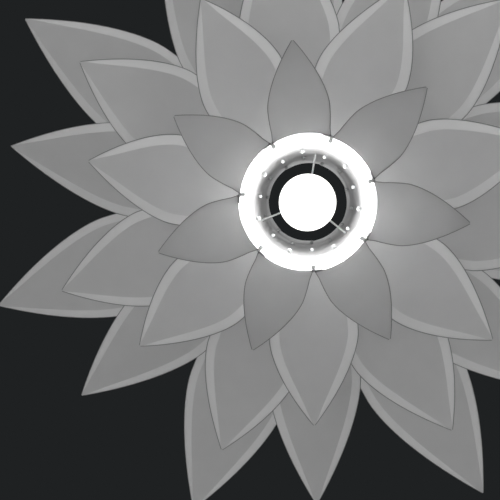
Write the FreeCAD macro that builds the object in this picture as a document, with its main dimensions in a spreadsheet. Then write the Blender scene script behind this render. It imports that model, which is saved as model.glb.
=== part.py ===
import FreeCAD, Part
import Sketcher
import math
import os
import re

# Pendant shade folded from thin translucent plastic sheet: five tiers of seven pointed petals,
# riveted into a round tube, with a wire carrier, a lampholder and a globe lamp on the axis.
# Millimetres, +Z up. The origin is the mouth of the cord entry, on the axis, at the top.

doc = FreeCAD.newDocument("LotusPendant")
vec = FreeCAD.Vector
UP = vec(0, 0, 1)
OUT = vec(1, 0, 0)

SIZES = {
    # the plastic sheet and how its layers lie on each other
    "sheet_thickness": 0.5,
    "sheet_gap": 0.3,
    # the tube of root flaps: radii to the middle of the sheet at the fold
    "mouth_radius": 48,
    "tube_radius": 43.5,
    "tier_pitch": 48,
    "flap_head": 10,
    "flap_corner": 9,
    "flap_lap": 2.2,
    "ear_lap": 6,
    "ear_height": 11,
    "ear_corner": 2.6,
    # blades: the longest reach from the axis to a tip, then for each tier, lowest first, the fall
    # from fold to tip, half of the greatest width, and how far to the left the tip stands
    "shade_radius": 301,
    "fall_1": 1.5, "half_width_1": 21.6, "lean_1": 0,
    "fall_2": 14, "half_width_2": 34.5, "lean_2": 10.4,
    "fall_3": 32, "half_width_3": 40.8, "lean_3": -4.9,
    "fall_4": 52, "half_width_4": 41.5, "lean_4": 16,
    "fall_5": 72, "half_width_5": 49, "lean_5": 0,
    "tip_half_width": 0.8,
    "blade_start": 8,
    "lip_width": 2,
    "margin_width": 8,
    "margin_turn": 1.6,
    # snap rivets
    "rivet_rise": 5,
    "rivet_shank_radius": 1.4,
    "rivet_hole_radius": 1.7,
    "rivet_head_radius": 3.2,
    "rivet_head_thickness": 1.2,
    "rivet_face_radius": 2.1,
    "rivet_play": 0.15,
    "barb_play": 0.45,
    "barb_radius": 1.9,
    "barb_end_radius": 1.1,
    "barb_length": 3,
    # cord grip and cap of the lampholder, from the cord entry down
    "cord_bore_radius": 3.6,
    "grip_nose_radius": 5.2, "grip_nose": 3,
    "grip_radius": 6.4, "grip_body": 5,
    "grip_foot_radius": 8.2, "grip_foot": 5,
    "cap_neck_radius": 9.4, "cap_neck": 4,
    "cap_dome_radius": 15.5, "cap_dome": 4,
    "cap_slope": 8,
    "cap_side": 13,
    "cap_inset": 0.6,
    "cap_wall": 2,
    # lampholder body: collar, outer thread and skirt
    "collar_height": 12,
    "collar_step": 1.9,
    "collar_bead": 2.4,
    "collar_bead_step": 0.8,
    "skirt_wall": 1.9,
    "skirt_reach": 8,
    "skirt_chamfer": 0.8,
    # what sits in it
    "insert_play": 0.4,
    "insert_wall": 2.9,
    "insert_floor": 3.4,
    "insert_clearance": 0.5,
    "socket_play": 0.5,
    "socket_wall": 0.6,
    "socket_flare": 0.3,
    "socket_lead": 3.5,
    "socket_rise": 3,
    "socket_clearance": 1.1,
    "tongue_length": 17,
    "tongue_breadth": 5,
    "tongue_sheet": 0.5,
    "tongue_button_radius": 2.4,
    "tongue_button": 2.1,
    "contact_gap": 0.3,
    # shade ring that screws up under the carrier
    "ring_play": 0.05,
    "ring_wall": 2.3,
    "ring_flange_reach": 2,
    "ring_flange": 2,
    "ring_height": 9,
    # wire carrier, and how high it stands above the fold of the middle tier
    "carrier_play": 0.3,
    "carrier_band": 3.6,
    "carrier_thickness": 2.4,
    "carrier_rise": 13.5,
    "wire_radius": 1.1,
    "wire_hole_play": 0.3,
    "wire_hook": 8,
    # lamp, from its contact down
    "button_radius": 4.8, "button_face_radius": 3.8, "button_height": 1.6,
    "insulator_face_radius": 6.5, "insulator_height": 3.6,
    "insulator_step": 2.5,
    "lamp_cap_radius": 13.1, "lamp_cap_height": 18.5,
    "lamp_shoulder": 2.6,
    "neck_step": 0.8,
    "housing_height": 16.78,
    "lamp_collar": 2.2,
    "lamp_collar_step": 1.15,
    "globe_radius": 22.5,
    "globe_wall": 1.5,
    "board_room": 2.45,
    "board_thickness": 1.6,
}

PETALS = 7
FLATS = 6
TIER_COUNT = 5
TIERS = range(1, TIER_COUNT + 1)
MIDDLE_TIER = TIER_COUNT // 2 + 1
STEP = 360 / PETALS
HALF_STEP = STEP / 2
WIRE_ANGLES = (83, 203, 323)

# Along a blade from the fold to its widest place, and from there to the tip: how far, how much of
# the way to the full width, and how much of the full margin. Then by tier: how much of the longest
# reach its blades have, and how far along them the widest place is.
RISE_SHARES = ((0.22, 0.4, 0.6), (0.56, 0.81, 0.95), (1.0, 1.0, 1.0))
TAPER_SHARES = ((0.28, 0.87, 1.0), (0.53, 0.64, 0.9), (0.75, 0.37, 0.65),
                (0.9, 0.155, 0.3), (1.0, 0.0, 0.03))
REACH_SHARES = {1: 0.3688, 2: 0.5648, 3: 0.7143, 4: 0.8638, 5: 1}
WIDEST_SHARES = {1: 0.28, 2: 0.47, 3: 0.55, 4: 0.55, 5: 0.58}
FALL_SHARE_POWER = 1.6
ROOT_MARGIN_SHARE = 0.2
WIDEST_MARGIN_SHARE = 0.4
ROOT_SHARE = 0.98
GLOBE_ANGLES = (-90, -75, -60, -45, -30, -15, 0, 15, 30, 40, 48)
RIM_SINE = "%.5f" % math.sin(math.radians(GLOBE_ANGLES[-1]))
RIM_COSINE = "%.5f" % math.cos(math.radians(GLOBE_ANGLES[-1]))

# Sizes that follow from others, so that pieces that fit together keep together.
DERIVED = {
    "flap_height": "tier_pitch + flap_head",
    # depths below the cord entry
    "grip_step_depth": "grip_nose + grip_body",
    "grip_depth": "grip_step_depth + grip_foot",
    "cap_neck_depth": "grip_depth + cap_neck",
    "cap_dome_depth": "cap_neck_depth + cap_dome",
    "cap_side_depth": "cap_dome_depth + cap_slope",
    "cap_depth": "cap_side_depth + cap_side",
    "floor_depth": "cap_depth + insert_floor",
    "shoulder_depth": "cap_depth + collar_height",
    "lamp_top_depth": "floor_depth + tongue_button + contact_gap",
    "insulator_depth": "lamp_top_depth + button_height",
    "lamp_cap_top": "insulator_depth + insulator_height",
    "lamp_cap_depth": "lamp_cap_top + lamp_cap_height",
    "globe_foot_depth": "lamp_cap_depth + housing_height",
    "globe_depth": "globe_foot_depth + globe_radius * " + RIM_SINE,
    "socket_top_depth": "lamp_cap_top - socket_rise",
    "socket_depth": "lamp_cap_depth - socket_clearance",
    "insert_depth": "lamp_cap_depth - insert_clearance",
    "skirt_depth": "insert_depth + skirt_reach",
    "carrier_depth": "shoulder_depth + contact_gap + carrier_thickness / 2",
    "ring_top": "carrier_depth + carrier_thickness / 2 + contact_gap",
    "mouth_depth": "carrier_depth + carrier_rise + tier_pitch * %d" % (MIDDLE_TIER - 1),
    # radii, from the lamp's screw cap outwards
    "insulator_radius": "lamp_cap_radius - insulator_step",
    "lamp_neck_radius": "lamp_cap_radius + neck_step",
    "socket_inner_radius": "lamp_cap_radius + socket_play",
    "socket_radius": "socket_inner_radius + socket_wall",
    "insert_inner_radius": "socket_radius + contact_gap",
    "insert_radius": "insert_inner_radius + insert_wall",
    "skirt_inner_radius": "insert_radius + insert_play",
    "thread_radius": "skirt_inner_radius + skirt_wall",
    "collar_radius": "thread_radius + collar_step",
    "collar_bead_radius": "collar_radius + collar_bead_step",
    "cap_radius": "collar_radius - cap_inset",
    "ring_grip_radius": "thread_radius + ring_wall",
    "ring_flange_radius": "ring_grip_radius + ring_flange_reach",
    "carrier_bore_radius": "thread_radius + carrier_play",
    "carrier_ring_radius": "carrier_bore_radius + carrier_band",
    "lamp_collar_radius": "globe_radius * %s + lamp_collar_step" % RIM_COSINE,
    "board_radius": "(globe_radius - globe_wall) * %s - board_room" % RIM_COSINE,
}
DERIVED.update(("reach_%d" % tier, "shade_radius * %s" % REACH_SHARES[tier]) for tier in TIERS)

sheet = doc.addObject("Spreadsheet::Sheet", "Sizes")
for row, (alias, value) in enumerate(SIZES.items(), 1):
    sheet.set("A%d" % row, alias)
    sheet.set("B%d" % row, str(value))
    sheet.setAlias("B%d" % row, alias)
doc.recompute()


def bound(expression):
    """The expression with each size read from the sheet, or worked out from the sheet's."""
    def read(name):
        return "(%s)" % bound(DERIVED[name]) if name in DERIVED else "Sizes." + name
    return re.sub(r"\b[a-z]\w+", lambda found: read(found.group()), expression)


def size(expression):
    return float(sheet.evalExpression(bound(expression)))


def at_angle(degrees):
    return FreeCAD.Placement(vec(), FreeCAD.Rotation(UP, degrees))


def keep(label, shape, placement=None):
    """An object of the document that holds a shape made with Part's own functions."""
    feature = doc.addObject("Part::Feature", label)
    feature.Label = label
    feature.Shape = shape
    if placement:
        feature.Placement = placement
    return feature


def turned(label, outline):
    """A body turned about Z from a closed outline of (radius, depth below the entry)."""
    body = doc.addObject("PartDesign::Body", label)
    sketch = body.newObject("Sketcher::SketchObject", label + "_outline")
    plane = next(f for f in body.Origin.OriginFeatures if f.Role == "XZ_Plane")
    sketch.AttachmentSupport = [(plane, "")]
    sketch.MapMode = "FlatFace"
    corners = [vec(size(radius), -size(depth), 0) for radius, depth in outline]
    count = len(corners)
    for i in range(count):
        sketch.addGeometry(Part.LineSegment(corners[i], corners[(i + 1) % count]), False)
    for i in range(count):
        sketch.addConstraint(Sketcher.Constraint("Coincident", i, 2, (i + 1) % count, 1))
    for i, (radius, depth) in enumerate(outline):
        place(sketch, i, "DistanceX", radius, (-1, 1, i, 1), -2)
        place(sketch, i, "DistanceY", depth, (i, 1, -1, 1), -1)
    revolution = body.newObject("PartDesign::Revolution", label + "_turned")
    revolution.Profile = sketch
    revolution.ReferenceAxis = (sketch, ["V_Axis"])
    revolution.Angle = 360
    return body


def place(sketch, corner, kind, expression, ends, axis):
    """Holds one corner of an outline at a size from the sheet, or on an axis where that is 0."""
    if expression == "0":
        sketch.addConstraint(Sketcher.Constraint("PointOnObject", corner, 1, axis))
        return
    index = sketch.addConstraint(Sketcher.Constraint(kind, *ends, size(expression)))
    sketch.setExpression("Constraints[%d]" % index, bound(expression))


def layer_step():
    """From one sheet to the next where two lap: one sheet and the gap."""
    return size("sheet_thickness") + size("sheet_gap")


def fold_radius(tier):
    return size("mouth_radius") if tier == 1 else size("tube_radius")


def flap_slope(tier):
    """How much a flap leans in for each millimetre of rise, so that it nests in the next tier."""
    nest = size("sheet_thickness") + layer_step() / 2 + size("sheet_gap")
    return (fold_radius(tier) - size("tube_radius") + nest) / size("tier_pitch")


def flap_radius(tier, rise):
    """Radius to the middle of the sheet, at a height above the tier's fold."""
    return fold_radius(tier) - flap_slope(tier) * rise


def fold_depth(tier):
    return size("mouth_depth") - size("tier_pitch") * (tier - 1)


def axis_shift():
    """A flap is bent about a line beside the axis, so one ear lies outside and one inside."""
    return layer_step() / (2 * math.sin(math.radians(HALF_STEP)))


def is_flat(a, b, c, d):
    """Whether four points lie in one plane, to a millionth of the sheet's gap."""
    return abs((b - a).cross(c - a).normalize().dot(d - a)) < size("sheet_gap") / 1e6


def flat_face(*points):
    return Part.Face(Part.makePolygon([*points, points[0]]))


def skin(rings):
    """A solid with flat faces over closed rings of corners; a twisted strip becomes triangles."""
    faces = [flat_face(*rings[0]), flat_face(*rings[-1])]
    for near, far in zip(rings, rings[1:]):
        for i in range(len(near)):
            a, b, c, d = near[i - 1], near[i], far[i], far[i - 1]
            if is_flat(a, b, c, d):
                faces.append(flat_face(a, b, c, d))
            else:
                faces += [flat_face(a, b, c), flat_face(a, c, d)]
    return Part.Solid(Part.Shell(faces))


def bent_ring(radius, rise):
    """Corners of the flats that stand for a bent sheet, six to a petal, so that tiers nest."""
    turns = (2 * math.pi * (i + 0.5) / (PETALS * FLATS) for i in range(PETALS * FLATS))
    return [vec(radius * math.cos(t), radius * math.sin(t) + axis_shift(), rise) for t in turns]


def radial_cone(tier, offset, low, high):
    """A solid cone that follows the flaps of a tier, offset from the middle of the sheet."""
    return skin([bent_ring(flap_radius(tier, rise) + offset, rise) for rise in (low, high)])


def root_half_width(tier):
    """Half of a blade's width at the fold: a little less than half of the tube's seventh."""
    return ROOT_SHARE * fold_radius(tier) * math.sin(math.radians(HALF_STEP))


def flap_outline(tier):
    """The flat outline of a root flap, as a prism along X: a foot as wide as the blade, ears just
    clear of the neighbours' blades, round top corners."""
    low, ear, top = -size("sheet_thickness") / 2, size("ear_height"), size("flap_height")
    clear, foot = size("sheet_gap"), root_half_width(tier)

    def half(rise, lap):
        radius = flap_radius(tier, rise)
        return radius * math.sin(math.radians(HALF_STEP) + size(lap) / radius)

    right = [(foot, low), (foot, clear), (half(clear, "ear_lap"), clear),
             (half(ear, "ear_lap"), ear),
             (half(ear, "flap_lap"), ear), (half(top, "flap_lap"), top)]
    corners = [vec(0, y, z) for y, z in right] + [vec(0, -y, z) for y, z in reversed(right)]
    prism = Part.Face(Part.makePolygon(corners + corners[:1])).extrude(OUT * fold_radius(tier) * 2)
    prism = prism.makeFillet(size("flap_corner"), corner_edges(prism, top, half(top, "flap_lap")))
    return prism.makeChamfer(size("ear_corner"), corner_edges(prism, ear, half(ear, "ear_lap")))


def corner_edges(prism, rise, reach):
    """The two edges along X of a prism that lie at a height and at a distance to each side."""
    near = size("sheet_gap")
    return [e for e in prism.Edges
            if all(abs(v.Z - rise) < near and abs(abs(v.Y) - reach) < near for v in e.Vertexes)]


def flap(tier):
    """The upright root of a petal: a strip of a cone, trimmed to its outline."""
    half = size("sheet_thickness") / 2
    low, top = -half, size("flap_height")
    shell = radial_cone(tier, half, low, top).cut(radial_cone(tier, -half, low, top))
    return shell.common(flap_outline(tier))


def blade_stations(tier):
    """(radius, half width, margin share) of each cross-section from the fold outwards."""
    fold, reach = fold_radius(tier), size("reach_%d" % tier)
    tip, root, widest = size("tip_half_width"), root_half_width(tier), size("half_width_%d" % tier)
    turn = fold + (reach - fold) * WIDEST_SHARES[tier]
    lip = blade_lip(tier)
    stations = [(fold - size("blade_start"), root, ROOT_MARGIN_SHARE), (lip, root, ROOT_MARGIN_SHARE)]
    for along, wide, margin in RISE_SHARES:
        stations.append((lip + (turn - lip) * along, root + (widest - root) * wide, margin))
    for along, wide, margin in TAPER_SHARES:
        stations.append((turn + (reach - turn) * along, tip + (widest - tip) * wide, margin))
    return stations


def blade_lip(tier):
    """Radius up to which a blade stays level, just outside the fold."""
    return fold_radius(tier) + size("lip_width")


def blade_section(tier, radius, half, share):
    """A cross-section: the middle is straight, the margins of tiers 2 to 5 turn down."""
    lip = blade_lip(tier)
    along = max(0, radius - lip) / (size("reach_%d" % tier) - lip)
    fall = size("fall_%d" % tier) * along ** FALL_SHARE_POWER
    lean = size("lean_%d" % tier) * along
    upper = [(half, -fall), (-half, -fall)]
    if tier > 1:
        inner = half - min(size("margin_width") * share, half * WIDEST_MARGIN_SHARE)
        drop = fall + size("margin_turn") * share
        upper = [(half, -drop), (inner, -fall), (-inner, -fall), (-half, -drop)]
    lower = [(y, z - size("sheet_thickness")) for y, z in reversed(upper)]
    return [vec(radius, y + lean, z) for y, z in upper + lower]


def blade(tier):
    """The pointed blade: a skin over its cross-sections, trimmed along the curved fold."""
    whole = skin([blade_section(tier, *station) for station in blade_stations(tier)])
    room = size("tier_pitch") / 4
    return whole.cut(radial_cone(tier, 0, -room, room))


def rivet_axis(tier, degrees):
    """Where a rivet crosses the flaps of its tier: out along X, square to the sheet."""
    lean = math.degrees(math.atan(flap_slope(tier)))
    rise = size("rivet_rise")
    tilt = FreeCAD.Placement(vec(flap_radius(tier, rise), 0, rise), FreeCAD.Rotation(vec(0, 1, 0), -lean))
    return at_angle(degrees) * tilt


def cross_hole(placement, radius):
    """A cylinder through the flaps along X of a placement."""
    length = size("ear_height") / 2
    drill = spindle(-length, radius, length, radius)
    drill.Placement = placement
    return drill


def eight_corners(x, radius):
    """An eight-sided ring across X, for rivets, their holes and wires: they repeat too often for
    true circles."""
    return [vec(x, radius * math.cos(turn), radius * math.sin(turn))
            for turn in (math.pi * (i + 0.5) / 4 for i in range(8))]


def spindle(start, start_radius, end, end_radius):
    """An eight-sided bar or taper along X."""
    return skin([eight_corners(start, start_radius), eight_corners(end, end_radius)])


def petal(tier):
    """One petal in one sheet: blade, fold, flap and its rivet holes."""
    shape = blade(tier).fuse(flap(tier)).removeSplitter()
    radius = size("rivet_hole_radius")
    holes = [cross_hole(rivet_axis(tier, side * HALF_STEP), radius) for side in (1, -1)]
    if tier < TIERS[-1]:
        above = rivet_axis(tier + 1, 0)
        above.Base = above.Base + UP * size("tier_pitch")
        holes.append(cross_hole(above, radius))
    return shape.cut(holes)


def wire_reach():
    """Radius of the upright ends of the carrier wires, just outside the middle tier's flaps."""
    flaps = flap_radius(MIDDLE_TIER, size("carrier_rise"))
    return flaps + size("sheet_thickness") + size("wire_radius") + size("sheet_gap")


def wire_holes(degrees):
    """Clearance holes for the carrier wires, turned into the frame of a petal."""
    radius, rise = size("wire_radius") + size("wire_hole_play"), size("carrier_rise")
    lift = FreeCAD.Placement(vec(flap_radius(MIDDLE_TIER, rise), 0, rise), FreeCAD.Rotation())
    return [cross_hole(at_angle(wire - degrees) * lift, radius) for wire in WIRE_ANGLES]


def tier_angle(tier):
    """Tiers 1, 3 and 5 start on X; the others are turned by half a step."""
    return 0 if tier % 2 else HALF_STEP


def add_petals():
    for tier in TIERS:
        shape = petal(tier)
        for i in range(PETALS):
            degrees = tier_angle(tier) + STEP * i
            spot = at_angle(degrees)
            spot.Base = vec(0, 0, -fold_depth(tier))
            made = shape.cut(wire_holes(degrees)) if tier == MIDDLE_TIER else shape
            parts.append(keep("petal_%d_%d" % (tier, i + 1), made, spot))


def rivet(tier):
    """A snap rivet along X: head outside, shank, barb inside. X is 0 in the middle of the lap."""
    lap = (layer_step() + size("sheet_thickness")) / 2
    outside, inside = lap + size("rivet_play"), -lap
    if tier > 1:
        behind = flap_radius(tier - 1, size("tier_pitch") + size("rivet_rise"))
        inside = behind - flap_radius(tier, size("rivet_rise")) - size("sheet_thickness") / 2
    inside -= size("barb_play")
    head = spindle(outside, size("rivet_head_radius"),
                   outside + size("rivet_head_thickness"), size("rivet_face_radius"))
    barb = spindle(inside - size("barb_length"), size("barb_end_radius"),
                   inside, size("barb_radius"))
    shank = spindle(inside, size("rivet_shank_radius"), outside, size("rivet_shank_radius"))
    return shank.fuse([head, barb])


def add_rivets():
    for tier in TIERS:
        solids = []
        for i in range(PETALS):
            one = rivet(tier)
            one.Placement = rivet_axis(tier, tier_angle(tier) + HALF_STEP + STEP * i)
            solids.append(one)
        spot = FreeCAD.Placement(vec(0, 0, -fold_depth(tier)), FreeCAD.Rotation())
        parts.append(keep("rivets_tier_%d" % tier, Part.makeCompound(solids), spot))


def carrier_wire():
    """A straight arm from the ring through the flaps, with its end bent upright outside them."""
    start = (size("carrier_bore_radius") + size("carrier_ring_radius")) / 2
    reach, wire = wire_reach(), size("wire_radius")
    level = eight_corners(start, wire)
    mitre = [vec(reach - p.z, p.y, p.z) for p in level]
    upright = [vec(reach - p.z, p.y, size("wire_hook")) for p in level]
    return skin([level, mitre, upright])


def add_carrier():
    """A flat ring clamped on the lampholder and three wire arms that hold the tube of flaps."""
    thick = size("carrier_thickness")
    base = vec(0, 0, -thick / 2)
    ring = Part.makeCylinder(size("carrier_ring_radius"), thick, base, UP)
    ring = ring.cut(Part.makeCylinder(size("carrier_bore_radius"), thick, base, UP))
    arms = []
    for degrees in WIRE_ANGLES:
        arm = carrier_wire()
        arm.Placement = at_angle(degrees)
        arms.append(arm)
    spot = FreeCAD.Placement(vec(0, 0, -size("carrier_depth")), FreeCAD.Rotation())
    parts.append(keep("shade_carrier", ring.fuse(arms), spot))


def add_lampholder():
    parts.append(turned("cord_grip", [
        ("cord_bore_radius", "0"), ("grip_nose_radius", "0"), ("grip_radius", "grip_nose"),
        ("grip_radius", "grip_step_depth"), ("grip_foot_radius", "grip_step_depth"),
        ("grip_foot_radius", "grip_depth"), ("cord_bore_radius", "grip_depth")]))
    parts.append(turned("lampholder_cap", [
        ("cord_bore_radius", "grip_depth"), ("cap_neck_radius", "grip_depth"),
        ("cap_neck_radius", "cap_neck_depth"), ("cap_dome_radius", "cap_dome_depth"),
        ("cap_radius", "cap_side_depth"), ("cap_radius", "cap_depth"),
        ("cap_radius - cap_wall", "cap_depth"), ("cap_radius - cap_wall", "cap_side_depth"),
        ("cap_dome_radius - cap_wall", "cap_dome_depth + cap_wall"),
        ("cord_bore_radius", "cap_neck_depth + cap_wall")]))
    parts.append(turned("lampholder_body", [
        ("skirt_inner_radius", "cap_depth"), ("collar_radius", "cap_depth"),
        ("collar_radius", "shoulder_depth - collar_bead"),
        ("collar_bead_radius", "shoulder_depth - collar_bead"),
        ("collar_bead_radius", "shoulder_depth"), ("thread_radius", "shoulder_depth"),
        ("thread_radius", "skirt_depth - skirt_chamfer"),
        ("thread_radius - skirt_chamfer", "skirt_depth"), ("skirt_inner_radius", "skirt_depth")]))
    parts.append(turned("contact_insert", [
        ("0", "cap_depth"), ("insert_radius", "cap_depth"), ("insert_radius", "insert_depth"),
        ("insert_inner_radius", "insert_depth"),
        ("insert_inner_radius", "floor_depth"), ("0", "floor_depth")]))
    parts.append(turned("shell_contact", [
        ("socket_inner_radius", "socket_top_depth"), ("socket_radius", "socket_top_depth"),
        ("socket_radius", "socket_depth"), ("socket_inner_radius + socket_flare", "socket_depth"),
        ("socket_inner_radius", "socket_depth - socket_lead")]))
    parts.append(turned("shade_ring", [
        ("thread_radius + ring_play", "ring_top"), ("ring_flange_radius", "ring_top"),
        ("ring_flange_radius", "ring_top + ring_flange"),
        ("ring_grip_radius", "ring_top + ring_flange"),
        ("ring_grip_radius", "ring_top + ring_height"),
        ("thread_radius + ring_play", "ring_top + ring_height")]))


def add_centre_contact():
    """A spring tongue across the insert's floor with a round button for the lamp's contact."""
    tongue = doc.addObject("Part::Box", "tongue")
    for field, expression in (("Length", "tongue_length"), ("Width", "tongue_breadth"),
                              ("Height", "tongue_sheet")):
        tongue.setExpression(field, bound(expression))
    for axis, expression in (("x", "-tongue_length / 2"), ("y", "-tongue_breadth / 2"),
                             ("z", "-floor_depth - tongue_sheet")):
        tongue.setExpression("Placement.Base." + axis, bound(expression))
    button = doc.addObject("Part::Cylinder", "tongue_button")
    button.setExpression("Radius", bound("tongue_button_radius"))
    button.setExpression("Height", bound("tongue_button"))
    button.setExpression("Placement.Base.z", bound("-floor_depth - tongue_button"))
    both = doc.addObject("Part::Fuse", "centre_contact")
    both.Base, both.Tool = tongue, button
    parts.append(both)


def globe_corner(radius, latitude):
    """A corner of the globe's outline, at degrees above its middle."""
    turn = math.radians(latitude)
    if latitude == -90:
        return "0", "globe_depth + " + radius
    return "%s * %.5f" % (radius, math.cos(turn)), "globe_depth - %s * %.5f" % (radius, math.sin(turn))


def add_lamp():
    """Globe lamp: opal globe, board, housing, screw cap with thread, insulator and button."""
    wall = [globe_corner("globe_radius", latitude) for latitude in GLOBE_ANGLES]
    hollow = [globe_corner("(globe_radius - globe_wall)", latitude)
              for latitude in reversed(GLOBE_ANGLES[::2])]
    parts.append(turned("lamp_globe", wall + hollow))
    foot = "globe_foot_depth"
    parts.append(turned("lamp_board", [
        ("0", foot), ("board_radius", foot), ("board_radius", foot + " + board_thickness"),
        ("0", foot + " + board_thickness")]))
    parts.append(turned("lamp_housing", [
        ("0", "lamp_cap_depth"), ("lamp_neck_radius", "lamp_cap_depth"),
        ("lamp_collar_radius", foot + " - lamp_collar"), ("lamp_collar_radius", foot),
        ("0", foot)]))
    parts.append(turned("lamp_cap", [
        ("0", "lamp_cap_top"), ("insulator_radius", "lamp_cap_top"),
        ("lamp_cap_radius", "lamp_cap_top + lamp_shoulder"),
        ("lamp_cap_radius", "lamp_cap_depth"), ("0", "lamp_cap_depth")]))
    parts.append(turned("lamp_insulator", [
        ("0", "insulator_depth"), ("insulator_face_radius", "insulator_depth"),
        ("insulator_radius", "lamp_cap_top"), ("0", "lamp_cap_top")]))
    parts.append(turned("lamp_contact", [
        ("0", "lamp_top_depth"), ("button_face_radius", "lamp_top_depth"),
        ("button_radius", "insulator_depth"), ("0", "insulator_depth")]))


parts = []
add_petals()
add_rivets()
add_carrier()
add_lampholder()
add_centre_contact()
add_lamp()
doc.recompute()

for item in doc.Objects:
    if {"Invalid", "Error"} & set(item.State):
        raise RuntimeError("failed object: " + item.Label)
for item in parts:
    if item.Shape.isNull() or not item.Shape.isValid() or not item.Shape.Solids:
        raise RuntimeError("bad shape: " + item.Label)
os.makedirs("parts", exist_ok=True)
for item in parts:
    item.Shape.exportStep("parts/%s.step" % item.Label)
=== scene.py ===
import math

import bpy
from mathutils import Matrix, Vector


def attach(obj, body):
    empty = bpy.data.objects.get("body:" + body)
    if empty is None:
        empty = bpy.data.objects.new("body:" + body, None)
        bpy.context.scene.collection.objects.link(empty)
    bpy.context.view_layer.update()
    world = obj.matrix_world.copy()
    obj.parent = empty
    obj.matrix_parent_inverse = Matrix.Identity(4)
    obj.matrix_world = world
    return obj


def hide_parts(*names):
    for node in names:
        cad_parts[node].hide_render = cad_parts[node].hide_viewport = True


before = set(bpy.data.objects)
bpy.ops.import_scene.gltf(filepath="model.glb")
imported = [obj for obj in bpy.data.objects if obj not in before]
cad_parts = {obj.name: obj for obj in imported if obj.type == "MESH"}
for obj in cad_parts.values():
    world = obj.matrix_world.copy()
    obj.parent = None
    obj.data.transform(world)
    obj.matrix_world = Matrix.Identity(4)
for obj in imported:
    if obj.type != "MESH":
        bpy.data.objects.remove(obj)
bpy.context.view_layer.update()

# Camera: it hangs just under the mouth of the shade and looks almost straight up, with the axis of
# the shade right of and above the middle of the picture.
CAMERA_PLACE = (0.00122, -0.00037, -0.62)
CAMERA_TURN = (175.698, -5.111, 44.219)
CAMERA_LENS = 46.8
CAMERA_SENSOR = 36

bpy.ops.object.select_all(action="DESELECT")
bpy.ops.object.camera_add(location=CAMERA_PLACE, rotation=[math.radians(a) for a in CAMERA_TURN])
camera = bpy.context.object
camera.name = "camera"
camera.data.lens = CAMERA_LENS
camera.data.sensor_width = CAMERA_SENSOR
camera.data.clip_start = 0.01
bpy.context.scene.camera = camera
bpy.context.scene.view_settings.view_transform = "Standard"


# Room: a plain pale floor well below the light, pale walls under a dark ceiling and four wide soft
# lamps, so that the sheet shows its own white beside the light of the lamp inside.
def linear(hex_colour):
    """An sRGB hex colour as linear RGBA."""
    parts = [int(hex_colour[i:i + 2], 16) / 255 for i in (0, 2, 4)]
    return tuple(c / 12.92 if c <= 0.04045 else ((c + 0.055) / 1.055) ** 2.4 for c in parts) + (1,)


def add_node(tree, kind, sockets=(), **settings):
    """Adds a node with its settings. Sockets maps an input to a value, or to an output to link."""
    node = tree.nodes.new(kind)
    for name, value in settings.items():
        setattr(node, name, value)
    for name, value in dict(sockets).items():
        if isinstance(value, bpy.types.NodeSocket):
            tree.links.new(value, node.inputs[name])
        else:
            node.inputs[name].default_value = value
    return node


# how the walls and the ceiling look, how they light the object, and how strongly
SURROUND, CEILING = "dcdddd", "1f2122"
WALL_LIGHT, CEILING_LIGHT = "f6f6f6", "505050"
ROOM_LIGHT = 0.5
# where the walls begin to turn into the ceiling and where it is full, as shares of straight up
CEILING_START, CEILING_FULL = 0.45, 0.8
FLOOR_DEPTH = -1.6
FLOOR_SIZE = 60
FLOOR_LIFT = 0.6
FLOOR_ROUGHNESS = 0.8

world = bpy.data.worlds.new("room")
bpy.context.scene.world = world
world.use_nodes = True
tree = world.node_tree
tree.nodes.clear()
path = add_node(tree, "ShaderNodeLightPath")
# The translucent sheet sends out rays that are diffuse as well as transmitted: they meet the light
# of the room, not the surround that glass would show.
clear_path = add_node(tree, "ShaderNodeMath", {0: path.outputs["Is Transmission Ray"],
                                               1: path.outputs["Is Diffuse Ray"]},
                      operation="SUBTRACT", use_clamp=True)
seen = add_node(tree, "ShaderNodeMath", {0: path.outputs["Is Camera Ray"],
                                         1: path.outputs["Is Glossy Ray"]}, operation="MAXIMUM")
seen = add_node(tree, "ShaderNodeMath", {0: seen.outputs[0], 1: clear_path.outputs[0]},
                operation="MAXIMUM")
height = add_node(tree, "ShaderNodeTexCoord").outputs["Generated"]
height = add_node(tree, "ShaderNodeSeparateXYZ", {0: height}).outputs["Z"]
height = add_node(tree, "ShaderNodeMapRange", {"Value": height, "From Min": CEILING_START,
                                               "From Max": CEILING_FULL},
                  interpolation_type="SMOOTHSTEP").outputs[0]
given = add_node(tree, "ShaderNodeMix", {0: height, 6: linear(WALL_LIGHT),
                                         7: linear(CEILING_LIGHT)}, data_type="RGBA").outputs[2]
light = add_node(tree, "ShaderNodeBackground", {"Color": given, "Strength": ROOM_LIGHT})
shown = add_node(tree, "ShaderNodeMix", {0: height, 6: linear(SURROUND), 7: linear(CEILING)},
                 data_type="RGBA").outputs[2]
wall = add_node(tree, "ShaderNodeBackground", {"Color": shown, "Strength": 1.0})
mixed = add_node(tree, "ShaderNodeMixShader", {0: seen.outputs[0], 1: light.outputs[0],
                                               2: wall.outputs[0]})
add_node(tree, "ShaderNodeOutputWorld", {"Surface": mixed.outputs[0]})

bpy.ops.mesh.primitive_plane_add(size=FLOOR_SIZE, location=(0, 0, FLOOR_DEPTH))
floor = bpy.context.object
floor.name = "floor"
painted = bpy.data.materials.new("painted_floor")
painted.use_nodes = True
tree = painted.node_tree
shader = tree.nodes["Principled BSDF"]
shader.inputs["Base Color"].default_value = linear(SURROUND)
shader.inputs["Roughness"].default_value = FLOOR_ROUGHNESS
shader.inputs["Emission Color"].default_value = linear(SURROUND)
path = add_node(tree, "ShaderNodeLightPath")
seen = add_node(tree, "ShaderNodeMath", {0: path.outputs["Is Camera Ray"],
                                         1: path.outputs["Is Glossy Ray"]}, operation="MAXIMUM")
lift = add_node(tree, "ShaderNodeMath", {0: seen.outputs[0], 1: FLOOR_LIFT}, operation="MULTIPLY")
tree.links.new(lift.outputs[0], shader.inputs["Emission Strength"])
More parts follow.
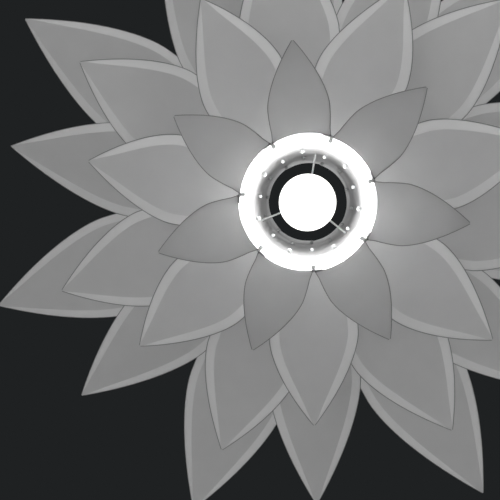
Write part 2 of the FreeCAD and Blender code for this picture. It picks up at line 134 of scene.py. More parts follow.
# The lift only shows the floor pale. It is no lamp, so no light is sampled from it.
painted.cycles.emission_sampling = "NONE"
floor.data.materials.append(painted)

# each lamp's name, place, aim, width in metres and watts
LAMPS = (
    ("key_lamp", (-0.12, -0.12, -0.8), (0, 0, -0.05), 0.45, 1.2),
    ("side_lamp", (-1.3, 0.9, -0.7), (0, 0, -0.05), 0.9, 8),
    ("fill_lamp", (1.4, -1.0, 0.1), (0, 0, -0.05), 0.9, 7),
    ("top_lamp", (0.5, 0.4, 1.7), (0, 0, 0), 1.6, 2.2),
)
for name, place, aim, width, watts in LAMPS:
    bpy.ops.object.light_add(type="AREA", location=place)
    lamp = bpy.context.object
    lamp.name = name
    lamp.rotation_euler = (Vector(aim) - Vector(place)).to_track_quat("-Z", "Y").to_euler()
    lamp.data.size = width
    lamp.data.energy = watts
    lamp.visible_camera = False


# Petals: 35 blades in five tiers of seven, die-cut from half-millimetre extruded polypropylene
# sheet. Each is scored and folded where the blade meets its upright root flap, and the margins of
# the upper four tiers are creased and turned down. The flaps lap round the tube like a pinwheel.
MM = 0.001
PETALS = 7
STEP = 360 / PETALS
HALF_STEP = math.radians(STEP / 2)
TIER_PITCH = 48 * MM
MOUTH_DEPTH = 165 * MM
MOUTH_RADIUS, TUBE_RADIUS = 48 * MM, 43.5 * MM
# The sheet is half a millimetre thick. It is drawn a hair thinner, to stay inside the CAD's skin.
SHEET = 0.49 * MM
SHEET_MIDDLE = 0.25 * MM
NEST = 1.2 * MM
# The arc of a flap is centred beside the axis, so that the flaps lap each other like a pinwheel.
AXIS_SHIFT = 0.4 * MM / math.sin(HALF_STEP)
ROOT_SHARE = 0.98
LIP = 2 * MM
# the margin's width and turn, its shares of them at the root and tip, how late it narrows to each,
# and the most that it takes of half a blade
MARGIN, MARGIN_TURN = 8 * MM, 1.6 * MM
MARGIN_ROOT, MARGIN_TIP = 0.2, 0.03
MARGIN_ROOT_CURVE, MARGIN_TIP_CURVE = 3, 3.6
MARGIN_MOST = 0.4
# how the outline bends from the root and to the tip, and how the fall grows along the blade
ROOT_CURVE, TIP_CURVE, FALL_CURVE = 2, 1.6, 1.6
TIP_HALF_WIDTH = 0.8 * MM
FLAP_LAP, EAR_LAP = 2.2 * MM, 6 * MM
FLAP_TOP, FLAP_CORNER = 57.9 * MM, 9 * MM
EAR_TOP, EAR_CORNER = 11 * MM, 2.6 * MM
# tier: reach, fall from fold to tip, half of the greatest width, its place along, lean to the left
BLADES = {
    1: (110.9, 1.5, 21.6, 0.28, 0),
    2: (169.9, 14, 34.5, 0.47, 10.4),
    3: (214.9, 32, 40.8, 0.55, -4.9),
    4: (259.8, 52, 41.5, 0.55, 16),
    5: (300.8, 72, 49, 0.58, 0),
}
# heights of the rows of a flap, and how many columns it has from its middle to each kind of line
FLAP_ROWS = [z * MM for z in (57.9, 57.6, 56.6, 55, 52.5, 49, 43, 37, 31, 25, 18, 11, 8.4, 4.5,
                              0.3)]
BLADE_ROWS = 46
CENTRE_COLUMNS, MARGIN_COLUMNS, SIDE_COLUMNS, EAR_COLUMNS = 10, 3, 1, 2
UV_PER_METRE = 10
LINES = [CENTRE_COLUMNS, CENTRE_COLUMNS + MARGIN_COLUMNS]
LINES += [LINES[1] + SIDE_COLUMNS, LINES[1] + SIDE_COLUMNS + EAR_COLUMNS]


def fold_radius(tier):
    return MOUTH_RADIUS if tier == 1 else TUBE_RADIUS


def flap_slope(tier):
    return (fold_radius(tier) - TUBE_RADIUS + NEST) / TIER_PITCH


def flap_radius(tier, rise):
    return fold_radius(tier) - flap_slope(tier) * rise


def blade_shape(tier, x):
    """Half width, inner line of the margin, height and sideways lean of a blade at a radius."""
    reach, fall, widest, turn_share, lean = BLADES[tier]
    reach, fall, widest, lean = reach * MM, fall * MM, widest * MM, lean * MM
    fold = fold_radius(tier)
    root, lip = ROOT_SHARE * fold * math.sin(HALF_STEP), fold + LIP
    turn = fold + (reach - fold) * turn_share
    if x < turn:
        part = 1 - min(1, max(0, (x - lip) / (turn - lip)))
        half = root + (widest - root) * (1 - part ** ROOT_CURVE)
        margin = MARGIN_ROOT + (1 - MARGIN_ROOT) * (1 - part ** MARGIN_ROOT_CURVE)
    else:
        part = min(1, (x - turn) / (reach - turn))
        half = TIP_HALF_WIDTH + (widest - TIP_HALF_WIDTH) * (1 - part ** TIP_CURVE)
        margin = max(MARGIN_TIP, 1 - part ** MARGIN_TIP_CURVE)
    along = max(0, x - lip) / (reach - lip)
    inner = half - min(MARGIN * margin, half * MARGIN_MOST)
    turned = MARGIN_TURN * margin if tier > 1 else 0
    return half, inner, turned, -fall * along ** FALL_CURVE, lean * along


def across(column, half, inner):
    """Distance from the middle of a blade to a column, and how far into the margin it lies."""
    place = abs(column)
    if place <= LINES[0]:
        return math.copysign(inner * place / LINES[0], column), 0
    part = min(1, (place - LINES[0]) / MARGIN_COLUMNS)
    return math.copysign(inner + (half - inner) * part, column), part


def flap_point(tier, column, rise):
    """A point of the bent root flap, its ears and its round top corners."""
    radius = flap_radius(tier, rise)
    half, inner = blade_shape(tier, fold_radius(tier))[:2]
    flap = radius * math.sin(HALF_STEP + FLAP_LAP / radius)
    ear = radius * math.sin(HALF_STEP + EAR_LAP / radius) - max(0, rise - EAR_TOP + EAR_CORNER)
    narrow = min(1, (flap - FLAP_LAP / 2) / half)
    half, inner = half * narrow, inner * narrow
    place = abs(column)
    if place <= LINES[1]:
        y = across(column, half, inner)[0]
    elif place <= LINES[2]:
        y = math.copysign(half + (flap - half) * (place - LINES[1]) / SIDE_COLUMNS, column)
    else:
        y = math.copysign(flap + (ear - flap) * (place - LINES[2]) / EAR_COLUMNS, column)
    rounding = max(0, rise - FLAP_TOP + FLAP_CORNER)
    cut = FLAP_CORNER - math.sqrt(max(0, FLAP_CORNER ** 2 - rounding ** 2))
    y *= 1 - cut / flap
    return Vector((math.sqrt(radius ** 2 - (y - AXIS_SHIFT) ** 2), y, rise))


def blade_point(tier, column, along):
    """A point of the blade, from the curved fold at 0 to the tip at 1."""
    half, inner = blade_shape(tier, fold_radius(tier))[:2]
    start = flap_point(tier, column, 0).x
    x = start + (BLADES[tier][0] * MM - start) * along
    half, inner, turned, height, lean = blade_shape(tier, x)
    y, part = across(column, half, inner)
    return Vector((x, y + lean, height - turned * part - SHEET_MIDDLE))


def deselect():
    if bpy.context.object and bpy.context.object.mode != "OBJECT":
        bpy.ops.object.mode_set(mode="OBJECT")
    bpy.ops.object.select_all(action="DESELECT")


def apply_modifier(obj, kind, **settings):
    """Adds a modifier with its settings and applies it."""
    deselect()
    obj.select_set(True)
    bpy.context.view_layer.objects.active = obj
    modifier = obj.modifiers.new(kind.lower(), kind)
    for name, value in settings.items():
        setattr(modifier, name, value)
    bpy.ops.object.modifier_apply(modifier=modifier.name)


def petal_mesh(tier):
    """One petal: a grid laid over the folded sheet, cut to its outline and given its thickness."""
    columns, rows = 2 * LINES[3], len(FLAP_ROWS) + BLADE_ROWS
    deselect()
    bpy.ops.mesh.primitive_grid_add(x_subdivisions=rows, y_subdivisions=columns, size=1)
    obj = bpy.context.object
    bpy.ops.object.mode_set(mode="EDIT")
    bpy.ops.mesh.select_mode(type="FACE")
    bpy.ops.mesh.select_all(action="DESELECT")
    bpy.ops.object.mode_set(mode="OBJECT")
    mesh = obj.data
    mesh.uv_layers[0].name = "sheet_edge"
    edge_map = mesh.uv_layers["sheet_edge"]
    cells = [(round((v.co.x + 0.5) * rows), round((v.co.y + 0.5) * columns) - LINES[3])
             for v in mesh.vertices]
    last_ear = next(i for i, z in enumerate(FLAP_ROWS) if z <= EAR_TOP)
    fold = len(FLAP_ROWS)
    for vertex, (row, column) in zip(mesh.vertices, cells):
        if row < fold:
            vertex.co = flap_point(tier, column, FLAP_ROWS[row])
        else:
            vertex.co = blade_point(tier, column, (row - fold) / BLADE_ROWS)
    for polygon in mesh.polygons:
        corners = [cells[i] for i in polygon.vertices]
        low = min(row for row, column in corners)
        out = max(abs(column) for row, column in corners)
        most = LINES[1] if low >= fold - 1 else LINES[2] if low < last_ear else LINES[3]
        polygon.select = out > most
        # The turned margins of the upper tiers are marked in the edge map, and the material paints
        # them paler there: a painted highlight.
        margin = low >= fold and out > LINES[0] and tier > 1
        for loop in polygon.loop_indices:
            row, column = cells[mesh.loops[loop].vertex_index]
            point = mesh.vertices[mesh.loops[loop].vertex_index].co
            # Each corner carries its distance to the cut edge, along which the material paints a
            # dark band: a painted shade.
            if row < fold:
                side = FLAP_ROWS[row]
            else:
                half, inner = blade_shape(tier, point.x)[:2]
                side = min(half - abs(across(column, half, inner)[0]),
                           point.x - flap_point(tier, column, 0).x)
            edge_map.data[loop].uv = (side * UV_PER_METRE, margin)
    for edge in mesh.edges:
        (row, column), (row_b, column_b) = (cells[i] for i in edge.vertices)
        along_margin = column == column_b and abs(column) == LINES[0] and min(row, row_b) >= fold
        edge.use_edge_sharp = (tier > 1 and along_margin) or (row == row_b == fold)
    bpy.ops.object.mode_set(mode="EDIT")
    bpy.ops.mesh.delete(type="FACE")
    bpy.ops.mesh.select_all(action="SELECT")
    bpy.ops.mesh.normals_make_consistent(inside=False)
    bpy.ops.object.mode_set(mode="OBJECT")
    apply_modifier(obj, "SOLIDIFY", thickness=SHEET, offset=0, use_even_offset=True)
    bpy.ops.object.mode_set(mode="EDIT")
    bpy.ops.mesh.select_all(action="SELECT")
    bpy.ops.mesh.normals_make_consistent(inside=False)
    bpy.ops.object.mode_set(mode="OBJECT")
    bpy.ops.object.shade_smooth_by_angle(angle=math.radians(40), keep_sharp_edges=True)
    return obj


CLOUD, GRAIN, GRAIN_HEIGHT, GRAIN_STRENGTH = 16 * MM, 1.0 * MM, 0.05 * MM, 0.12
# the width of the painted shade along the cut edge
SHADED_EDGE_WIDTH = 0.8 * MM
SATIN = (0.38, 0.55)
SHEET_IOR = 1.49


def sheet_material(name, share, skin_tones, clear_tones):
    """Milky sheet: a satin skin over a share of light that comes through. The tones are those of
    the blade's thin and dense clouds, of its margin, painted paler as a painted highlight, and of
    its cut edge, painted darker as a painted shade."""
    made = bpy.data.materials.new(name)
    made.use_nodes = True
    tree = made.node_tree
    tree.nodes.clear()
    place = add_node(tree, "ShaderNodeTexCoord").outputs["Object"]
    cloud = add_node(tree, "ShaderNodeTexNoise", {"Vector": place, "Scale": 1 / CLOUD, "Detail": 3})
    grain = add_node(tree, "ShaderNodeTexNoise", {"Vector": place, "Scale": 1 / GRAIN, "Detail": 2})
    edge_map = add_node(tree, "ShaderNodeUVMap", uv_map="sheet_edge").outputs[0]
    edge = add_node(tree, "ShaderNodeSeparateXYZ", {0: edge_map})
    # A band along the cut edge is painted darker: a painted shade.
    painted_edge_shade = add_node(tree, "ShaderNodeMapRange", {
        "Value": edge.outputs[0], "From Max": SHADED_EDGE_WIDTH * UV_PER_METRE,
        "To Min": 1.0, "To Max": 0.0})

    def tint(thin, dense, margin, cut):
        blade = add_node(tree, "ShaderNodeMix", {0: cloud.outputs["Fac"], 6: linear(thin),
                                                 7: linear(dense)}, data_type="RGBA")
        # the margin painted paler: a painted highlight
        blade = add_node(tree, "ShaderNodeMix", {0: edge.outputs[1], 6: blade.outputs[2],
                                                 7: linear(margin)}, data_type="RGBA")
        return add_node(tree, "ShaderNodeMix", {0: painted_edge_shade.outputs[0], 6: blade.outputs[2],
                                                7: linear(cut)}, data_type="RGBA").outputs[2]

    rough = add_node(tree, "ShaderNodeMapRange", {
        "Value": grain.outputs["Fac"], "To Min": SATIN[0], "To Max": SATIN[1]}).outputs[0]
    bump = add_node(tree, "ShaderNodeBump", {
        "Height": grain.outputs["Fac"], "Strength": GRAIN_STRENGTH,
        "Distance": GRAIN_HEIGHT}).outputs[0]
    skin = add_node(tree, "ShaderNodeBsdfPrincipled", {
        "Base Color": tint(*skin_tones), "Roughness": rough, "IOR": SHEET_IOR, "Normal": bump})
    through = add_node(tree, "ShaderNodeBsdfTranslucent", {"Color": tint(*clear_tones),
                                                           "Normal": bump})
    both = add_node(tree, "ShaderNodeMixShader", {0: share, 1: skin.outputs[0],
                                                  2: through.outputs[0]})
    add_node(tree, "ShaderNodeOutputMaterial", {"Surface": both.outputs[0]})
    return made


# Extruded polypropylene: a milky translucent grey-white with the satin of the chill roll and faint
# clouds where the sheet is denser. The margins are painted paler, a painted highlight where the
# turned-down margins catch the light, and the die-cut edges are painted darker, a painted shade.
# The satin's 0.3 mm grain is drawn at 1 mm.
outer_sheet = sheet_material("satin_polypropylene_sheet", 0.87,
                             ("d6d6d6", "dedede", "f8f8f8", "626262"),
                             ("f0f0f0", "f6f6f6", "ffffff", "808080"))
# The same sheet in darker, duller tones with less light through it: painted shade for the first
# tier, which gets less light than the tiers above.
shaded_first_tier_sheet = sheet_material("shaded_first_tier_polypropylene_sheet", 0.74,
                             ("acacac", "b6b6b6", "b6b6b6", "505050"),
                             ("e2e2e2", "e9e9e9", "e9e9e9", "767676"))

for tier in BLADES:
    model = petal_mesh(tier)
    # The first tier takes the darker copy of the sheet: painted shade.
    model.data.materials.append(shaded_first_tier_sheet if tier == 1 else outer_sheet)
    start = 0 if tier % 2 else STEP / 2
    for i in range(PETALS):
        petal = bpy.data.objects.new("petal_%d_%d_sheet" % (tier, i + 1), model.data.copy())
        bpy.context.collection.objects.link(petal)
        petal.data.transform(Matrix.Translation((0, 0, -MOUTH_DEPTH + TIER_PITCH * (tier - 1)))
                             @ Matrix.Rotation(math.radians(start + STEP * i), 4, "Z"))
        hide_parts("petal_%d_%d" % (tier, i + 1))
        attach(petal, "shade_and_holder")
    bpy.data.objects.remove(model)


# Snap rivets: 35 nylon push rivets, seven to a tier, moulded in one with a domed head outside the
# tube and a split barb inside. Each joins two neighbouring root flaps and the flap behind them.
RIVET_RISE = 5 * MM
RIVET_LAP = 0.65 * MM
BEHIND_RISE = TIER_PITCH + RIVET_RISE
# in mm, as (radius, height): the barb and the head, from their seats on the sheet, and the neck
BARB = ((0, -2.6), (0.75, -2.54), (1.25, -2.2), (1.5, -1.6), (1.6, -0.8), (1.6, -0.2), (1.5, 0))
HEAD = ((3.0, 0), (3.15, 0.12), (3.15, 0.45), (2.9, 0.78), (2.2, 1.05), (1.1, 1.17), (0, 1.19))
NECK_RADIUS, BARB_GAP, HEAD_GAP = 1.2, 0.45, 0.15


def extrude_by(x, z):
    bpy.ops.mesh.extrude_region_move(TRANSFORM_OT_translate={"value": (x, 0, z)})


MERGE = 0.001 * MM


def spun(name, outline, segments):
    """A turned piece: its outline of (radius, height) in mm is drawn by extruding one corner along
    it, and spun about Z. An outline that doesn't start on the axis is closed."""
    corners = [(r * MM, z * MM) for r, z in outline]
    if corners[0][0] > 0:
        corners.append(corners[0])
    deselect()
    bpy.ops.mesh.primitive_plane_add(size=MM, location=(corners[0][0], 0, corners[0][1]))
    obj = bpy.context.object
    obj.name = name
    bpy.ops.object.transform_apply(location=True)
    bpy.ops.object.mode_set(mode="EDIT")
    bpy.ops.mesh.select_mode(type="VERT")
    bpy.ops.mesh.select_all(action="SELECT")
    bpy.ops.mesh.merge(type="CENTER")
    for (r, z), (next_r, next_z) in zip(corners, corners[1:]):
        extrude_by(next_r - r, next_z - z)
    bpy.ops.mesh.select_all(action="SELECT")
    bpy.ops.mesh.spin(steps=segments, angle=2 * math.pi, center=(0, 0, 0), axis=(0, 0, 1))
    bpy.ops.mesh.select_all(action="SELECT")
    bpy.ops.mesh.remove_doubles(threshold=MERGE)
    bpy.ops.mesh.normals_make_consistent(inside=False)
    bpy.ops.object.mode_set(mode="OBJECT")
    bpy.ops.object.shade_smooth_by_angle(angle=math.radians(35))
    return obj


def joined(pieces, name):
    deselect()
    for piece in pieces:
        piece.select_set(True)
    bpy.context.view_layer.objects.active = pieces[0]
    bpy.ops.object.join()
    pieces[0].name = name
    return pieces[0]


def fitted(obj, material, body, slot, *nodes):
    """Gives a finished piece its material and its body, and hides the CAD nodes it stands for. The
    slot is not used.
    """
    obj.data.materials.clear()
    obj.data.materials.append(material)
    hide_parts(*nodes)
    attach(obj, body)
    return obj


def grained(name, dark, light, size, rough, height, metallic=0.0, stretch=(1, 1, 1), ior=1.5):
    """A material whose colour, gloss and relief all follow one fine grain of a real size."""
    made = bpy.data.materials.new(name)
    made.use_nodes = True
    tree = made.node_tree
    shader = tree.nodes["Principled BSDF"]
    place = add_node(tree, "ShaderNodeTexCoord").outputs["Object"]
    place = add_node(tree, "ShaderNodeMapping", {"Vector": place, "Scale": stretch}).outputs[0]
    grain = add_node(tree, "ShaderNodeTexNoise", {"Vector": place, "Scale": 1 / size,
                                                  "Detail": 3}).outputs["Fac"]
    tint = add_node(tree, "ShaderNodeMix", {0: grain, 6: linear(dark), 7: linear(light)},
                    data_type="RGBA").outputs[2]
    gloss = add_node(tree, "ShaderNodeMapRange", {"Value": grain, "To Min": rough[0],
                                                  "To Max": rough[1]}).outputs[0]
    relief = add_node(tree, "ShaderNodeBump", {"Height": grain, "Strength": 0.3,
                                               "Distance": height}).outputs[0]
    tree.links.new(tint, shader.inputs["Base Color"])
    tree.links.new(gloss, shader.inputs["Roughness"])
    tree.links.new(relief, shader.inputs["Normal"])
    shader.inputs["Metallic"].default_value = metallic
    shader.inputs["IOR"].default_value = ior
    return made


# Moulded nylon: slightly milky, with the dull sheen of a small tool-finished moulding.
nylon = grained("moulded_nylon", "d3d5d5", "e6e8e8", 0.8 * MM, (0.3, 0.45), 0.02 * MM, ior=1.53)

for tier in BLADES:
    inside = -RIVET_LAP / MM - BARB_GAP
    if tier > 1:
        behind = flap_radius(tier - 1, BEHIND_RISE) - flap_radius(tier, RIVET_RISE)
        inside = (behind - SHEET_MIDDLE) / MM - BARB_GAP
    outside = RIVET_LAP / MM + HEAD_GAP
    rivet = spun("rivet", [(r, inside + z) for r, z in BARB]
                 + [(NECK_RADIUS, inside), (NECK_RADIUS, outside)]
                 + [(r, outside + z) for r, z in HEAD], segments=20)
    turn = Matrix.Rotation(math.atan(flap_slope(tier)), 4, "Y").inverted()
    upright = Matrix.Translation((flap_radius(tier, RIVET_RISE), 0, RIVET_RISE)) @ turn
    rivet.data.transform(upright @ Matrix.Rotation(math.radians(90), 4, "Y"))
    start = STEP / 2 if tier % 2 else STEP
    ring = []
    for i in range(PETALS):
        one = bpy.data.objects.new("rivet_%d" % i, rivet.data.copy())
        bpy.context.collection.objects.link(one)
        one.data.transform(Matrix.Translation((0, 0, -MOUTH_DEPTH + TIER_PITCH * (tier - 1)))
                           @ Matrix.Rotation(math.radians(start + STEP * i), 4, "Z"))
        ring.append(one)
    bpy.data.objects.remove(rivet)
    fitted(joined(ring, "snap_rivets_tier_%d" % tier), nylon, "shade_and_holder", "snap_rivet",
           "rivets_tier_%d" % tier)


# Shade carrier: a flat steel ring clamped under the lampholder's collar, with three wire arms
# welded to it. They pass through the third tier's flaps and turn up outside them. Powder coated.
CARRIER_HEIGHT = -55.5 * MM
# the ring's bore, outer radius and half thickness in mm, and how far its edges are broken
RING_BORE, RING_RADIUS, RING_HALF = 20, 23.6, 1.2
BORE_EDGE, OUTER_EDGE = 0.3, 0.4
WIRE_RADIUS, WIRE_BEND, WIRE_HOOK = 0.8 * MM, 2.6 * MM, 8 * MM
# the wires pass the third tier's flaps this high above its fold, and hook up outside them
WIRE_TIER, WIRE_RISE, WIRE_CLEAR = 3, 13.5 * MM, 1.9 * MM
WIRE_REACH = flap_radius(WIRE_TIER, WIRE_RISE) + WIRE_CLEAR
WIRE_START = 21.8 * MM
WIRE_ANGLES = (83, 203, 323)
WELD_LENGTH, WELD_SPREAD = 2.4 * MM, 1.35
END_BELOW, END_LENGTH, END_SHARE = 0.5 * MM, 0.4 * MM, 0.62

ring = spun("carrier_ring", [(r, CARRIER_HEIGHT / MM + z) for r, z in (
    (RING_BORE, RING_HALF - BORE_EDGE), (RING_BORE + BORE_EDGE, RING_HALF),
    (RING_RADIUS - OUTER_EDGE, RING_HALF), (RING_RADIUS, RING_HALF - OUTER_EDGE),
    (RING_RADIUS, OUTER_EDGE - RING_HALF), (RING_RADIUS - OUTER_EDGE, -RING_HALF),
    (RING_BORE + BORE_EDGE, -RING_HALF), (RING_BORE, BORE_EDGE - RING_HALF))], segments=96)
pieces = [ring]
for angle in WIRE_ANGLES:
    deselect()
    bpy.ops.mesh.primitive_circle_add(vertices=16, radius=WIRE_RADIUS, fill_type="NGON",
                                      location=(WIRE_START, 0, CARRIER_HEIGHT),
                                      rotation=(0, math.radians(90), 0))
    wire = bpy.context.object
    bpy.ops.object.transform_apply(location=True, rotation=True)
    bpy.ops.object.mode_set(mode="EDIT")
    bpy.ops.mesh.select_mode(type="FACE")
    bpy.ops.mesh.select_all(action="SELECT")
    bpy.ops.transform.resize(value=(1, WELD_SPREAD, 1))
    extrude_by(WELD_LENGTH, 0)
    extrude_by(WELD_LENGTH / 2, 0)
    bpy.ops.transform.resize(value=(1, 1 / WELD_SPREAD, 1))
    extrude_by(WIRE_REACH - WIRE_BEND - WIRE_START - WELD_LENGTH * 1.5, 0)
    bpy.ops.mesh.spin(steps=8, angle=math.pi / 2, axis=(0, 1, 0),
                      center=(WIRE_REACH - WIRE_BEND, 0, CARRIER_HEIGHT + WIRE_BEND))
    extrude_by(0, WIRE_HOOK - WIRE_BEND - END_BELOW)
    extrude_by(0, END_LENGTH)
    bpy.ops.transform.resize(value=(END_SHARE, END_SHARE, 1))
    bpy.ops.mesh.select_all(action="SELECT")
    bpy.ops.mesh.remove_doubles(threshold=MERGE)
    bpy.ops.mesh.normals_make_consistent(inside=False)
    bpy.ops.object.mode_set(mode="OBJECT")
    bpy.ops.object.shade_smooth_by_angle(angle=math.radians(40))
    wire.data.transform(Matrix.Rotation(math.radians(angle), 4, "Z"))
    pieces.append(wire)
# Powder coat: pale grey with the faint orange peel of a cured powder, about 0.7 mm across.
powder_coat = grained("powder_coated_steel", "c4c6c6", "d2d4d4", 0.7 * MM, (0.35, 0.5),
                      0.05 * MM)
fitted(joined(pieces, "wire_carrier"), powder_coat, "shade_and_holder", "carrier_wire",
       "shade_carrier")


# Lampholder: cord grip, domed cap and body with its outer thread, moulded in white thermoplastic,
# with a pressed ceramic insert that carries the screw shell and the spring tongue of the centre.
def levels(radius, start, end, count):
    """Points along a straight wall, so that a thread or ribs can be worked into it."""
    return [(radius, start + (end - start) * i / count) for i in range(count + 1)]


def worked(obj, low, high, radii, inwards):
    """Moves the wall between two heights and radii inwards, by a depth for a turn and height."""
    for vertex in obj.data.vertices:
        x, y, z = vertex.co
        radius = math.hypot(x, y)
        if low * MM < z < high * MM and radii[0] * MM < radius < radii[1] * MM:
            share = 1 - inwards(math.atan2(y, x), z / MM) * MM / radius
            vertex.co = (x * share, y * share, z)


def thread(low, high, pitch, depth):
    """A rolled thread that runs out at both ends, as the depth at a turn and height in mm."""
    def inwards(turn, z):
        run_out = min(1, (z - low) / pitch, (high - z) / pitch)
        return depth * max(0, run_out) * (0.5 - 0.5 * math.cos(2 * math.pi * z / pitch - turn))
    return inwards


def ribs(count, depth):
    """Upright grip ribs round a wall, as the depth of the grooves between them."""
    return lambda turn, z: depth * max(0, math.cos(count * turn)) ** 2


# Moulded thermoplastic: near white, its surface eroded in the tool to a 0.6 mm grain, drawn at 0.9.
holder_plastic = grained("moulded_white_thermoplastic", "dcdbd7", "e8e7e4", 0.9 * MM,
                         (0.38, 0.5), 0.03 * MM, ior=1.55)

grip = spun("cord_grip_body", [
    (3.6, -0.5), (4.0, 0), (4.7, 0), (5.2, -0.5), (6.2, -2.6), (6.4, -3.2), (6.4, -7.8),
    (7.9, -8.0), (8.2, -8.3), *levels(8.2, -9, -12, 3), (8.2, -12.7), (7.9, -13), (3.6, -13)],
            segments=96)
worked(grip, -12.5, -8.5, (8, 9), ribs(16, 0.5))
fitted(grip, holder_plastic, "shade_and_holder", "white_holder", "cord_grip")

cap = spun("lampholder_cap_body", [
    (3.6, -13), (9.0, -13), (9.4, -13.4), (9.4, -16.4), (10.2, -17.1), (12.2, -18.2),
    (14.2, -19.8), (16.3, -22.0), (18.3, -24.6), (20.0, -27.4), (20.8, -29.0), (21, -30.2),
    *levels(21, -31, -40, 6), (21, -41.3), (20.6, -42), (19, -42), (19, -29), (13.5, -23),
    (3.6, -19)], segments=144)
worked(cap, -40.6, -30.6, (20.5, 22), ribs(36, 0.45))
fitted(cap, holder_plastic, "shade_and_holder", "white_holder", "lampholder_cap")

body = spun("lampholder_body_skirt", [
    (17.8, -42), (21.2, -42), (21.6, -42.4), (21.6, -51.3), (22.1, -51.6), (22.4, -52),
    (22.4, -53.6), (22.1, -54), (19.7, -54), *levels(19.7, -54.6, -77.8, 58), (18.9, -79),
    (18.2, -79), (17.8, -78.6)], segments=96)
worked(body, -78, -54.5, (19.5, 20), thread(-78, -54.5, 2.5, 0.75))
fitted(body, holder_plastic, "shade_and_holder", "white_holder", "lampholder_body")

# Pressed steatite: cream white and matt, with a dry 0.5 mm grain, drawn at 0.6.
steatite = grained("pressed_steatite", "d8d4c8", "e4e1d8", 0.6 * MM, (0.6, 0.75), 0.04 * MM,
                   ior=1.6)
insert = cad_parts["contact_insert"]
insert.data.materials.clear()
insert.data.materials.append(steatite)

# Stamped brass: drawn along the strip, so its fine lines run round the shell.
brass = grained("stamped_brass", "b9954c", "d0ae66", 0.5 * MM, (0.25, 0.4), 0.01 * MM,
                metallic=1.0, stretch=(0.15, 0.15, 1))
# the pitch in mm of the rolled thread of the shell and of the lamp's cap
CAP_PITCH = 3.63
shell = spun("socket_screw_shell", [
    (13.6, -50), (14.2, -50), *levels(14.2, -50.5, -70, 40), (14.2, -70.4), (13.9, -70.4),
    *levels(13.6, -66.9, -50.5, 34)], segments=96)
worked(shell, -69.6, -50.8, (13, 14.5), thread(-69.6, -50.8, CAP_PITCH, 0.5))
fitted(shell, brass, "shade_and_holder", "contact_brass", "shell_contact")
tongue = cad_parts["centre_contact"]
tongue.data.materials.clear()
tongue.data.materials.append(brass)


# Shade ring: a thermoplastic nut with a flange and grip notches. It screws up the outer thread of
# the lampholder and clamps the carrier ring against the collar.
nut = spun("shade_clamp_ring", [
    (19.75, -57.4), (20.1, -57), (23.6, -57), (24, -57.4), (24, -58.6), (23.6, -59), (22.3, -59.1),
    (22, -59.5), *levels(22, -60.2, -64.8, 5), (22, -65.6), (21.6, -66), (20.1, -66),
    (19.75, -65.6)], segments=144)
worked(nut, -65.9, -59.3, (21.4, 22.4), ribs(18, 0.9))
fitted(nut, holder_plastic, "shade_ring", "white_holder", "shade_ring")


# Lamp: a blown opal polycarbonate globe, lit, on a moulded housing, with a nickel-plated screw cap
# rolled to a round thread, a black glass insulator and a soldered centre contact.
GLOBE_MIDDLE, GLOBE_RADIUS, GLOBE_WALL, GLOBE_RIM = -105, 22.5, 1.5, 48


def arc(radius, start, end, count):
    turns = [math.radians(start + (end - start) * i / count) for i in range(count + 1)]
    return [(radius * math.cos(t) if abs(math.cos(t)) > 1e-6 else 0,
             GLOBE_MIDDLE + radius * math.sin(t)) for t in turns]


# Opal polycarbonate: milky and satin, and lit from inside so that it glares evenly. The lamp in it
# gives the light, so none is sampled from its surface.
GLARE = 1.2
opal = grained("lit_opal_polycarbonate", "dcdcd8", "e6e6e3", 3 * MM, (0.26, 0.36), 0.01 * MM,
               ior=1.58)
shader = opal.node_tree.nodes["Principled BSDF"]
shader.inputs["Emission Color"].default_value = linear("fffefc")
shader.inputs["Emission Strength"].default_value = GLARE
opal.cycles.emission_sampling = "NONE"
globe = spun("opal_globe", arc(GLOBE_RADIUS - 0.01, -90, GLOBE_RIM, 36)
             + arc(GLOBE_RADIUS - GLOBE_WALL, GLOBE_RIM, -90, 28), segments=96)
fitted(globe, opal, "lamp", "lamp_opal", "lamp_globe")

# Moulded polycarbonate: smooth white, polished in the tool.
housing_plastic = grained("moulded_white_polycarbonate", "e2e2df", "eaeae8", 2 * MM, (0.25, 0.33),
                          0.01 * MM, ior=1.58)
housing = spun("lamp_housing_body", [
    (0, -71.5), (13.5, -71.5), (13.9, -71.9), (14.3, -74.5), (15.2, -79.5), (15.9, -84),
    (16.0, -85.2), (15.75, -85.5), (15.75, -85.9), (16.2, -86.2), (16.2, -87.9), (15.9, -88.25),
    (0, -88.25)], segments=96)
fitted(housing, housing_plastic, "lamp", "lamp_plastic", "lamp_housing")

# White solder mask over an aluminium board: glossy, with a fine print grain.
solder_mask = grained("white_solder_mask", "e6e6e2", "f0f0ee", MM, (0.3, 0.4), 0.01 * MM)
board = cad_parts["lamp_board"]
board.data.materials.clear()
board.data.materials.append(solder_mask)

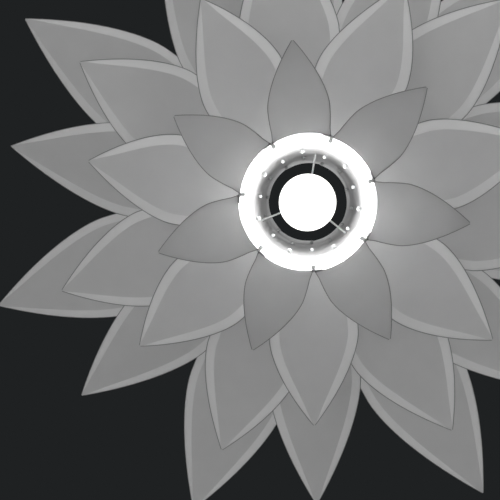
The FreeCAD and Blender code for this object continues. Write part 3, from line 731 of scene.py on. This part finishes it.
# Nickel plate on rolled steel: warm grey and bright, with fine lines from rolling round the cap.
nickel = grained("nickel_plated_steel", "a8a49c", "c4c1ba", 0.4 * MM, (0.2, 0.34), 0.01 * MM,
                 metallic=1.0, stretch=(0.15, 0.15, 1))
screw = spun("lamp_screw_cap", [
    (0, -53), (10.4, -53), (10.9, -53.2), (12.2, -54.6), *levels(13.1, -55.7, -69.3, 46),
    (13.1, -70), (13.1, -71.1), (12.9, -71.5), (0, -71.5)], segments=96)
worked(screw, -69.4, -55.6, (12.8, 13.3), thread(-69.4, -55.6, CAP_PITCH, 0.95))
fitted(screw, nickel, "lamp", "lamp_nickel", "lamp_cap")

# Black glass: pressed hot into the cap, glossy with a slight ripple.
black_glass = grained("black_insulating_glass", "0e0e12", "17171c", 2.5 * MM, (0.08, 0.16),
                      0.05 * MM, ior=1.52)
insulator = spun("lamp_glass_insulator", [
    (0, -49.4), (6.2, -49.4), (6.7, -49.6), (8.6, -51.1), (10.3, -52.5), (10.6, -53), (0, -53)],
                 segments=64)
fitted(insulator, black_glass, "lamp", "lamp_glass", "lamp_insulator")
contact = spun("lamp_centre_contact", [
    (0, -47.8), (2.4, -47.85), (3.6, -48.1), (4.3, -48.6), (4.8, -49.3), (4.8, -49.4), (0, -49.4)],
               segments=48)
fitted(contact, nickel, "lamp", "lamp_nickel", "lamp_contact")

# The light of the lit globe is carried by a round lamp inside it, so the globe casts no shadow. The
# board faces down, so most of the light goes down and sideways: as shares of straight up, it is
# full up to the direction GLOW_FULL and has sunk to UPWARD_SHARE from GLOW_LEAST on.
GLOW_WATTS, GLOW_RADIUS = 3.3, 8 * MM
GLOW_FULL, GLOW_LEAST, UPWARD_SHARE = -0.8, -0.18, 0.08
bpy.ops.object.light_add(type="POINT", location=(0, 0, GLOBE_MIDDLE * MM))
glow = bpy.context.object
glow.name = "globe_glow"
glow.data.energy = GLOW_WATTS
glow.data.shadow_soft_size = GLOW_RADIUS
glow.data.use_nodes = True
tree = glow.data.node_tree
upward = add_node(tree, "ShaderNodeTexCoord").outputs["Normal"]
upward = add_node(tree, "ShaderNodeSeparateXYZ", {0: upward}).outputs["Z"]
upward = add_node(tree, "ShaderNodeMapRange", {"Value": upward, "From Min": GLOW_FULL,
                                               "From Max": GLOW_LEAST, "To Min": 1.0,
                                               "To Max": UPWARD_SHARE},
                  interpolation_type="SMOOTHSTEP").outputs[0]
tree.links.new(upward, tree.nodes["Emission"].inputs["Strength"])
glow.visible_camera = False
globe.visible_shadow = False
